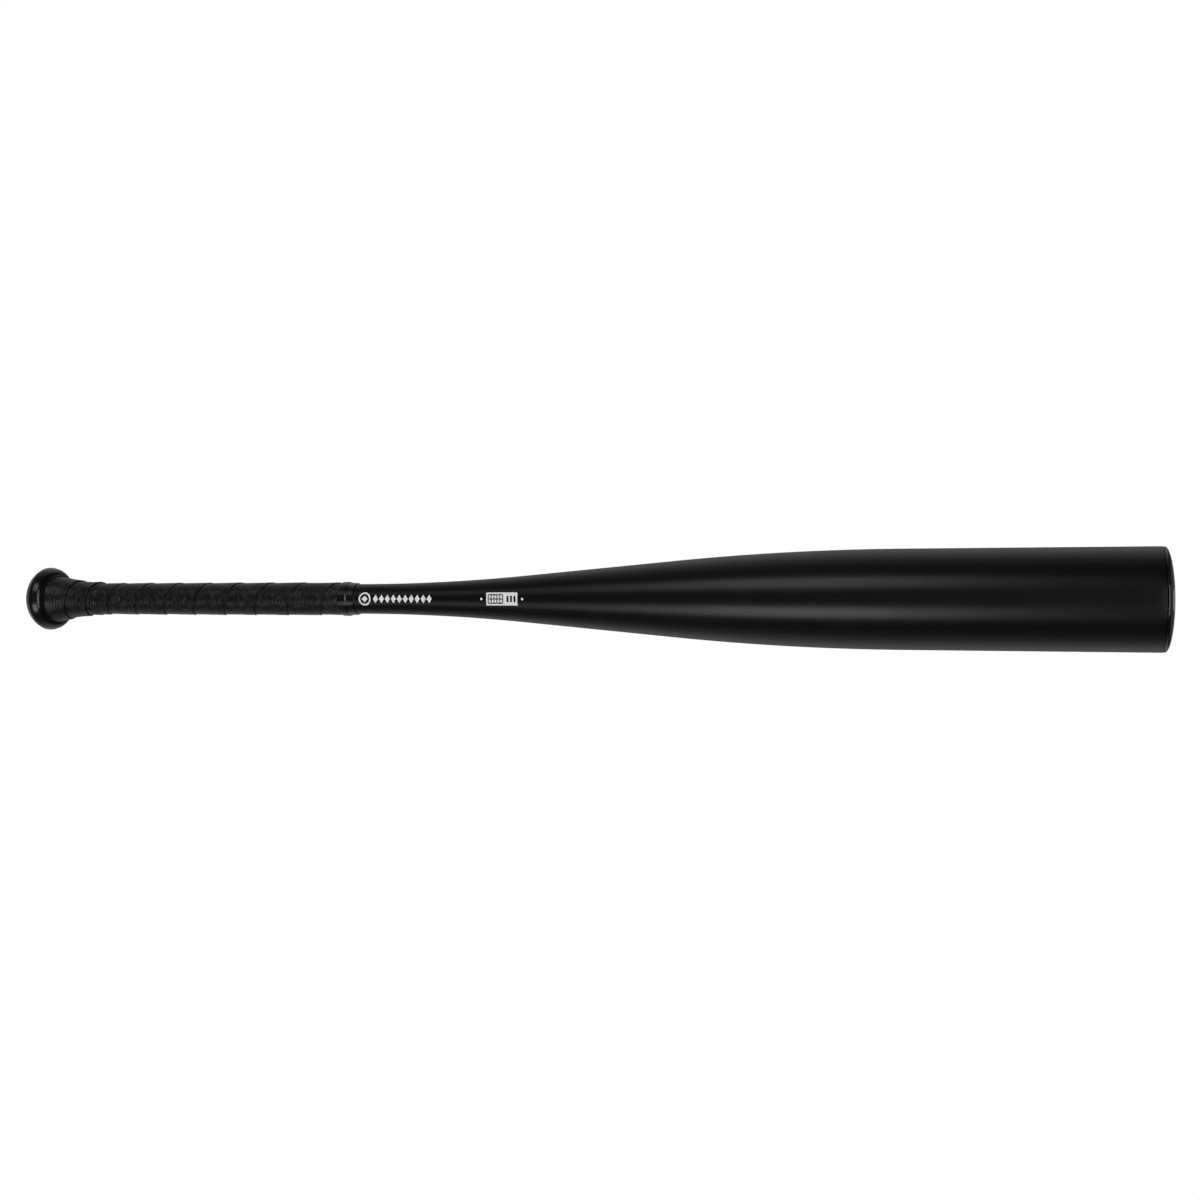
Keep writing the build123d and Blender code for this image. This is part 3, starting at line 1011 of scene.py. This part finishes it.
    def level(self, x: float, turns: float, past: float, left: float) -> float:
        """The grip's outer radius.

        Args:
            x: Along the bat.
            turns: Turns of the strip.
            past: How far the last exposed edge is behind.
            left: How far this strip's own exposed edge is ahead.

        Returns:
            The radius.
        """
        width = max(past + left, SMALLEST_GAP)
        height = self._step_height(x, turns)
        flat = self.base(x)
        out = flat + height * (past / width - 0.5)
        if left < self.edge_rounding:
            bend = (self.edge_rounding - left) / self.edge_rounding
            out -= height * self.edge_drop * (1 - sqrt(max(1 - bend**2, 0.0)))
        out -= self.crease * (1 - smooth_step(past / self.crease_width))
        out += self.lip * (1 - smooth_step(left / self.lip_width))
        spot = Vector(on_ring(x, out, turns)) * self.lump_scale
        out -= self._ribs(spot, past, left)
        small = self.small_lump * noise.noise(spot * self.small_lump_scale)
        out += self.lump * noise.noise(spot) + small
        pressed = smooth_step((x - self.band_x + self.press_run) / self.press_run)
        return out + (flat - out) * pressed

    def stations(self, width: float) -> list[float]:
        """Places across the strip, crowded at its two edges.

        Args:
            width: From one exposed edge to the next.

        Returns:
            How far each place is from the first edge.
        """
        near, far = self.near_stations, self.far_stations
        squeeze = min(1.0, width / self.squeezed_width)
        low, high = near[-1] * squeeze, width - far[0] * squeeze
        inner = self.columns - len(near) - len(far)
        middle = [low + (high - low) * (n + 1) / (inner + 1) for n in range(inner)]
        return [n * squeeze for n in near] + middle + [width - f * squeeze for f in far]

    def build(self) -> None:
        """Winds the strip and closes it against the handle."""
        first = self.start_turn()
        steps = round((self.end_turn() - first) * self.rows)
        points: list[Place] = []
        faces: list[list[int]] = []
        span = self.columns
        for step in range(steps + 1):
            turns = first + step / self.rows
            low, high = self.seam(turns), self.seam(turns + 1)
            start, end = max(low, self.start_x), min(high, self.end_x)
            for across in self.stations(max(end - start, 0.0)):
                x = start + across
                points.append(on_ring(x, self.level(x, turns, x - low, high - x), turns))
        for step in range(steps):
            for column in range(span - 1):
                corner = step * span + column
                faces.append([corner, corner + 1, corner + span + 1, corner + span])
        for step in range(steps - self.rows):
            top = step * span + span - 1
            foot = (step + self.rows) * span
            faces.append([top, foot, foot + span, top + span])
        self._close(points, faces, steps)
        self.piece = new_piece("wound_grip", points, faces)
        face_outwards(self.piece)

    def dress(self, wardrobe: Wardrobe) -> None:
        """Puts the grip in its place and covers it.

        Args:
            wardrobe: Where its material comes from.
        """
        fit(self.piece, "grip_tape")
        wardrobe.dress_piece(self.piece, Slot.GRIP)

    def start_turn(self) -> float:
        """The turn count at which the strip first shows beside the knob."""
        return self._turn_at(self.start_x) - 1

    def end_turn(self) -> float:
        """The turn count at which the strip's last edge leaves the grip."""
        return self._turn_at(self.end_x)

    def _turn_at(self, x: float) -> float:
        """The turn count at which the seam passes x, on the rows' grid.

        Args:
            x: Along the bat.

        Returns:
            The turns.
        """
        low, high = self.turn_limits
        while high - low > SMALLEST_TURN:
            middle = (low + high) / 2
            low, high = (middle, high) if self.seam(middle) < x else (low, middle)
        return round(low * self.rows) / self.rows

    def _close(self, points: list[Place], faces: list[list[int]], steps: int) -> None:
        """Adds the end rings and the inner skin.

        Args:
            points: The grip's vertices, which grow.
            faces: Its faces, which grow.
            steps: Rows of the wound strip.
        """
        span, rows = self.columns, self.rows
        start = [step * span for step in range(rows + 1)]
        end = [step * span + span - 1 for step in range(steps - rows, steps + 1)]
        first_turn = self.start_turn()
        length = self.end_x - self.start_x
        rings = []
        for place in range(self.skin_spans + 1):
            x = self.start_x + length * place / self.skin_spans
            under = max(self.base(x) - self.thickness, self.tube.handle_radius)
            rings.append(len(points))
            points.extend(
                on_ring(x, under + self.skin_gap, first_turn + n / rows) for n in range(rows)
            )
        for ring, following in zip(rings, rings[1:]):
            for n in range(rows):
                after = (n + 1) % rows
                faces.append([ring + n, ring + after, following + after, following + n])
        for n in range(rows):
            after = (n + 1) % rows
            faces.append([start[n], start[n + 1], rings[0] + after, rings[0] + n])
        for n in range(rows):
            here = (steps - rows + n) % rows
            after = (here + 1) % rows
            faces.append([end[n], end[n + 1], rings[-1] + after, rings[-1] + here])


def circle_through(a: Point, b: Point, c: Point) -> Place:
    """The circle through three points.

    Args:
        a: The first point.
        b: The second.
        c: The third.

    Returns:
        Its centre's two coordinates and its radius.
    """
    (ax, ay), (bx, by), (cx, cy) = a, b, c
    d = 2 * (ax * (by - cy) + bx * (cy - ay) + cx * (ay - by))
    ux = ((ax**2 + ay**2) * (by - cy) + (bx**2 + by**2) * (cy - ay)
          + (cx**2 + cy**2) * (ay - by)) / d
    uy = ((ax**2 + ay**2) * (cx - bx) + (bx**2 + by**2) * (ax - cx)
          + (cx**2 + cy**2) * (bx - ax)) / d
    return ux, uy, sqrt((ax - ux)**2 + (ay - uy)**2)


def hollow_height(circle: Place, x: float) -> float:
    """The lower side of a circle at x."""
    centre_x, centre_y, radius = circle
    return centre_y - sqrt(radius**2 - (x - centre_x)**2)


# ---- the finishing tape


@dataclass
class FinishingTape:
    """Vinyl tape wound over the grip's end and on to the bare handle."""

    tube: Tube
    layer: float = 0.15
    layers_on_grip: int = 3
    layers_on_handle: int = 6
    end_margin: float = 1.2  # how much shorter it is at the back than the CAD's
    overlap: float = 3.4  # from the grip's end to where one turn's edge lies on the next
    overlap_run: float = 0.4
    slant: float = 0.5  # how far the edges lean from bottom to top
    slant_turn: float = 0.6  # radians
    start_slant: float = 0.4  # the shares of it that the two edges take
    end_slant: float = 0.5
    bow: float = 1.2  # how far the edges reach on the printed side
    flutter: float = 0.12
    flutter_scale: float = 3.0
    flutter_seed: float = 2.0
    drape: float = 1.4  # length of the slope off the grip's end
    drape_lead: float = 0.6  # how far before the grip's end it starts
    drape_wander: float = 0.25
    drape_scales: Point = (0.45, 6.0)  # along the bat and round it
    pucker: float = 0.07
    pucker_scales: Point = (0.25, 9.0)
    pucker_shares: Point = (0.4, 4.0)  # on the level, and on the slope
    edge_runs: Point = (0.22, 0.7)  # over which the two edges round off
    start_fall: float = 0.12
    gap: float = 0.02  # under the tape
    rows: int = 192
    columns: int = 96
    start_x: float = field(init=False)
    end_x: float = field(init=False)
    grip_end_x: float = field(init=False)
    grip_radius: float = field(init=False)
    piece: Piece = field(init=False)

    def __post_init__(self) -> None:
        """Reads where the tape and the grip end from the CAD."""
        low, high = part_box("finishing_tape")
        self.start_x, self.end_x = low.x / MM, high.x / MM - self.end_margin
        self.grip_end_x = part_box("grip_tape")[1].x / MM
        self.grip_radius = high.z / MM - self.layer * self.layers_on_grip

    def _round_noise(self, x: float, angle: float, scales: Point) -> float:
        """Noise on the tape that meets itself round the handle.

        Args:
            x: Along the bat.
            angle: Round the axis.
            scales: How fast it changes along the bat and round it.

        Returns:
            A number from -1 to 1.
        """
        along, across = scales
        return noise.noise(Vector((x * along, cos(angle) * across, sin(angle) * across)))

    def level(self, share: float, turn: float) -> Point:
        """A point of the tape's outside.

        Args:
            share: From its start, 0, to its end, 1.
            turn: Turns round the axis.

        Returns:
            Its place (x, radius).
        """
        angle = 2 * pi * turn
        lean = self.slant * cos(angle + self.slant_turn)
        bow = self.bow * max(sin(angle), 0.0)
        reach = self.flutter_scale
        ring = Vector((cos(angle) * reach, sin(angle) * reach, self.flutter_seed))
        flutter = self.flutter * noise.noise(ring)
        start = self.start_x + self.start_slant * lean + flutter
        end = self.end_x + lean * self.end_slant + bow + flutter
        x = start + (end - start) * share
        handle = self.tube.handle_radius + self.layer * self.layers_on_handle
        on_grip = self.grip_radius + self.layer * self.layers_on_grip
        stray = self.drape_wander * self._round_noise(x, angle, self.drape_scales)
        drop_x = self.grip_end_x - self.drape_lead + bow + lean * self.end_slant + stray
        drop = smooth_step((x - drop_x) / self.drape)
        radius = on_grip + (handle - on_grip) * drop
        edge = self.grip_end_x + self.overlap + lean + bow - x
        radius += self.layer * (smooth_step(edge / self.overlap_run + 0.5) - 0.5) * drop
        level_share, slope_share = self.pucker_shares
        puckers = self._round_noise(x, angle, self.pucker_scales)
        radius += self.pucker * puckers * (level_share + drop * (1 - drop) * slope_share)
        start_run, end_run = self.edge_runs
        edge_share = smooth_step(min((x - start) / start_run, (end - x) / end_run))
        fall = self.layer * (self.layers_on_handle - 1)
        if x < self.grip_end_x:
            fall = self.start_fall
        return x, radius - fall * (1 - edge_share)

    def build(self) -> None:
        """Winds the tape."""
        points: list[Place] = []
        faces: list[list[int]] = []
        handle, grip = self.tube.handle_radius + self.gap, self.grip_radius + self.gap
        inner_step = self.grip_end_x + self.gap
        for row in range(self.rows):
            turn = row / self.rows
            across = [self.level(n / (self.columns - 1), turn) for n in range(self.columns)]
            start, end = across[0][0], across[-1][0]
            across += [(end, handle), (inner_step, handle), (inner_step, grip), (start, grip)]
            points.extend(on_ring(x, radius, turn) for x, radius in across)
        span = len(across)
        for row in range(self.rows):
            after = (row + 1) % self.rows
            for column in range(span):
                following = (column + 1) % span
                faces.append([row * span + column, row * span + following,
                              after * span + following, after * span + column])
        self.piece = new_piece("finishing_band", points, faces)
        face_outwards(self.piece)

    def dress(self, wardrobe: Wardrobe) -> None:
        """Puts the tape in its place and covers it."""
        fit(self.piece, "finishing_tape")
        wardrobe.dress_piece(self.piece, Slot.TAPE)


# ---- the studio


@dataclass(frozen=True)
class Softbox:
    """One soft lamp, turned towards a point that it aims at."""

    name: str
    place: Place
    aim: Place
    length: float
    height: float
    radiance: float
    mirrored: bool = True  # whether gloss shows it

    def build(self) -> None:
        """Hangs the lamp."""
        light = bpy.data.lights.new(self.name, "AREA")
        light.shape = "RECTANGLE"
        light.size, light.size_y = self.length, self.height
        light.energy = self.radiance * pi * self.length * self.height
        lamp = bpy.data.objects.new(self.name, light)
        bpy.context.scene.collection.objects.link(lamp)
        away = Vector(self.place) - Vector(self.aim)
        lamp.location = self.place
        lamp.rotation_euler = away.to_track_quat("Z", "Y").to_euler()
        lamp.visible_camera = False
        lamp.visible_glossy = self.mirrored


@dataclass
class Studio:
    """Camera, lamps, floor and pale surround."""

    camera_place: Place = (0.7504, -0.9485, -0.00065)
    camera_turn: float = radians(16.791)
    camera_roll: float = radians(0.055)
    camera_reach: Point = (0.01, 100.0)  # the nearest and farthest that it sees
    lens: float = 42.462
    sensor: float = 36.0
    white: float = 1.0
    floor_drop: float = 0.45
    surround_radius: float = 6.0
    surround_spans: int = 48
    surround_rings: int = 24
    surround_light: tuple[Point, ...] = (
        (-1.0, 0.02), (-0.5, 0.03), (-0.2, 0.06), (0.0, 0.13), (0.28, 0.29), (0.62, 0.46),
        (0.82, 0.34), (1.0, 0.16),
    )  # from the printed side, -1, to behind the bat, 1
    surround_lean: Place = (-0.1, 0.995, 0.0)
    barrel_side_fade: Point = (0.12, 0.5)  # where it dims towards the barrel's end
    barrel_side_light: float = 0.1
    lamps: list[Softbox] = field(default_factory=lambda: [
        Softbox("upper_strip", (0.13, -1.6, 1.318), (0.2, 0.0, 0.0), 0.95, 0.87, 1.45),
        Softbox("lower_strip", (0.13, -1.776, -1.067), (0.2, 0.0, 0.0), 0.95, 0.87, 2.2),
        Softbox("upper_left_strip", (-0.73, -1.6, 1.318), (-0.6, 0.0, 0.0), 0.74, 0.87, 0.3),
        Softbox("lower_left_strip", (-0.73, -1.776, -1.067), (-0.6, 0.0, 0.0), 0.74, 0.87, 0.55),
        Softbox("side_box", (2.1, -2.6, -0.1), (0.4, 0.0, 0.0), 0.45, 3.4, 4.0),
        Softbox("cap_box", (2.4, 0.5, 0.0), (0.83, 0.0, 0.0), 2.0, 1.6, 0.07),
        Softbox("back_box", (1.29, 0.86, 0.0), (0.83, 0.0, 0.0), 0.2, 0.07, 0.34),
        Softbox("fill", (0.6, -2.4, 0.2), (0.4, 0.0, 0.0), 2.4, 1.8, 2.6, False),
    ])

    def build(self) -> None:
        """Sets up everything round the bat."""
        self._camera()
        self._world()
        self._surround()
        for lamp in self.lamps:
            lamp.build()
        bpy.context.scene.view_settings.view_transform = "Standard"

    def _camera(self) -> None:
        """Places the camera."""
        data = bpy.data.cameras.new("camera")
        data.lens, data.sensor_width = self.lens, self.sensor
        data.clip_start, data.clip_end = self.camera_reach
        camera = bpy.data.objects.new("camera", data)
        bpy.context.scene.collection.objects.link(camera)
        camera.matrix_world = (
            Matrix.Translation(self.camera_place)
            @ Matrix.Rotation(self.camera_turn, 4, "Z")
            @ Matrix.Rotation(pi / 2, 4, "X")
            @ Matrix.Rotation(self.camera_roll, 4, "Z")
        )
        bpy.context.scene.camera = camera

    def _world(self) -> None:
        """Lights the bat from all round, most from behind."""
        craft = SkyCraft("soft_light")
        direction = craft.node("ShaderNodeTexCoord", {}, {}, "Generated")
        along = craft.node("ShaderNodeVectorMath", {"operation": "DOT_PRODUCT"},
                           {0: direction, 1: self.surround_lean}, "Value")
        spread = craft.node("ShaderNodeMapRange", {}, {0: along, 1: -1.0, 2: 1.0})
        stops = [((towards + 1) / 2, grey(level)) for towards, level in self.surround_light]
        light = craft.node("ShaderNodeValToRGB", {"stops": stops}, {0: spread})
        barrel_side = craft.node("ShaderNodeSeparateXYZ", {}, {0: direction}, "X")
        fade = craft.ramped(barrel_side, *self.barrel_side_fade, 1.0, self.barrel_side_light)
        sky = craft.node("ShaderNodeBackground", {}, {0: light, 1: fade})
        craft.node("ShaderNodeOutputWorld", {}, {0: sky}, None)
        bpy.context.scene.world = craft.owner

    def _surround(self) -> None:
        """Makes the floor and the pale surround, which light nothing themselves."""
        craft = Craft("pale_studio")
        glow = craft.node("ShaderNodeEmission", {}, {"Color": grey(self.white), "Strength": 1.0})
        craft.node("ShaderNodeOutputMaterial", {}, {"Surface": glow}, None)
        reach, low = self.surround_radius, -self.floor_drop
        spans, rings = self.surround_spans, self.surround_rings
        outline = [
            (reach * sin(pi * n / rings), -reach * cos(pi * n / rings)) for n in range(rings + 1)
        ]
        dome_points = [
            (radius * cos(2 * pi * m / spans), radius * sin(2 * pi * m / spans), height)
            for radius, height in outline for m in range(spans)
        ]
        dome_faces = [
            [n * spans + m, n * spans + (m + 1) % spans,
             (n + 1) * spans + (m + 1) % spans, (n + 1) * spans + m]
            for n in range(rings) for m in range(spans)
        ]
        corners = [(-reach, -reach, low), (reach, -reach, low), (reach, reach, low),
                   (-reach, reach, low)]
        for name, points, faces in (
            ("surround", dome_points, dome_faces),
            ("floor", corners, [[0, 1, 2, 3]]),
        ):
            item = new_piece(name, points, faces)
            item.data.materials.append(craft.owner)
            item.visible_glossy = item.visible_diffuse = False
            item.visible_shadow = item.visible_transmission = False


# ---- putting the bat together


KEPT: dict[str, Slot] = {
    "knob": Slot.KNOB,
    "knob_weld": Slot.WELD,
    "knob_plug": Slot.PLUG,
    "size_disc": Slot.DISC,
    "balance_slug": Slot.SLUG,
    "handle_foam": Slot.FOAM,
    "stiffening_ring": Slot.RING,
    "end_cap": Slot.CAP,
    "cap_adhesive": Slot.GLUE,
    "handle_mark": Slot.INK,
    "rating_patch": Slot.INK,
    "patch_dots": Slot.INK,
}


def main() -> None:
    """Builds the studio and the bat."""
    logging.basicConfig(level=logging.INFO, format="%(name)s: %(message)s")
    Studio().build()
    log.info("studio")
    wardrobe = Wardrobe()
    tube = Tube()
    for part in (tube, WoundGrip(tube), FinishingTape(tube)):
        part.build()
        part.dress(wardrobe)
        log.info("%s, %d faces", part.piece.name, len(part.piece.data.polygons))
    for node, slot in KEPT.items():
        wardrobe.dress_node(node, slot)
        log.info("%s, kept", node)


if __name__ == "__main__":
    main()
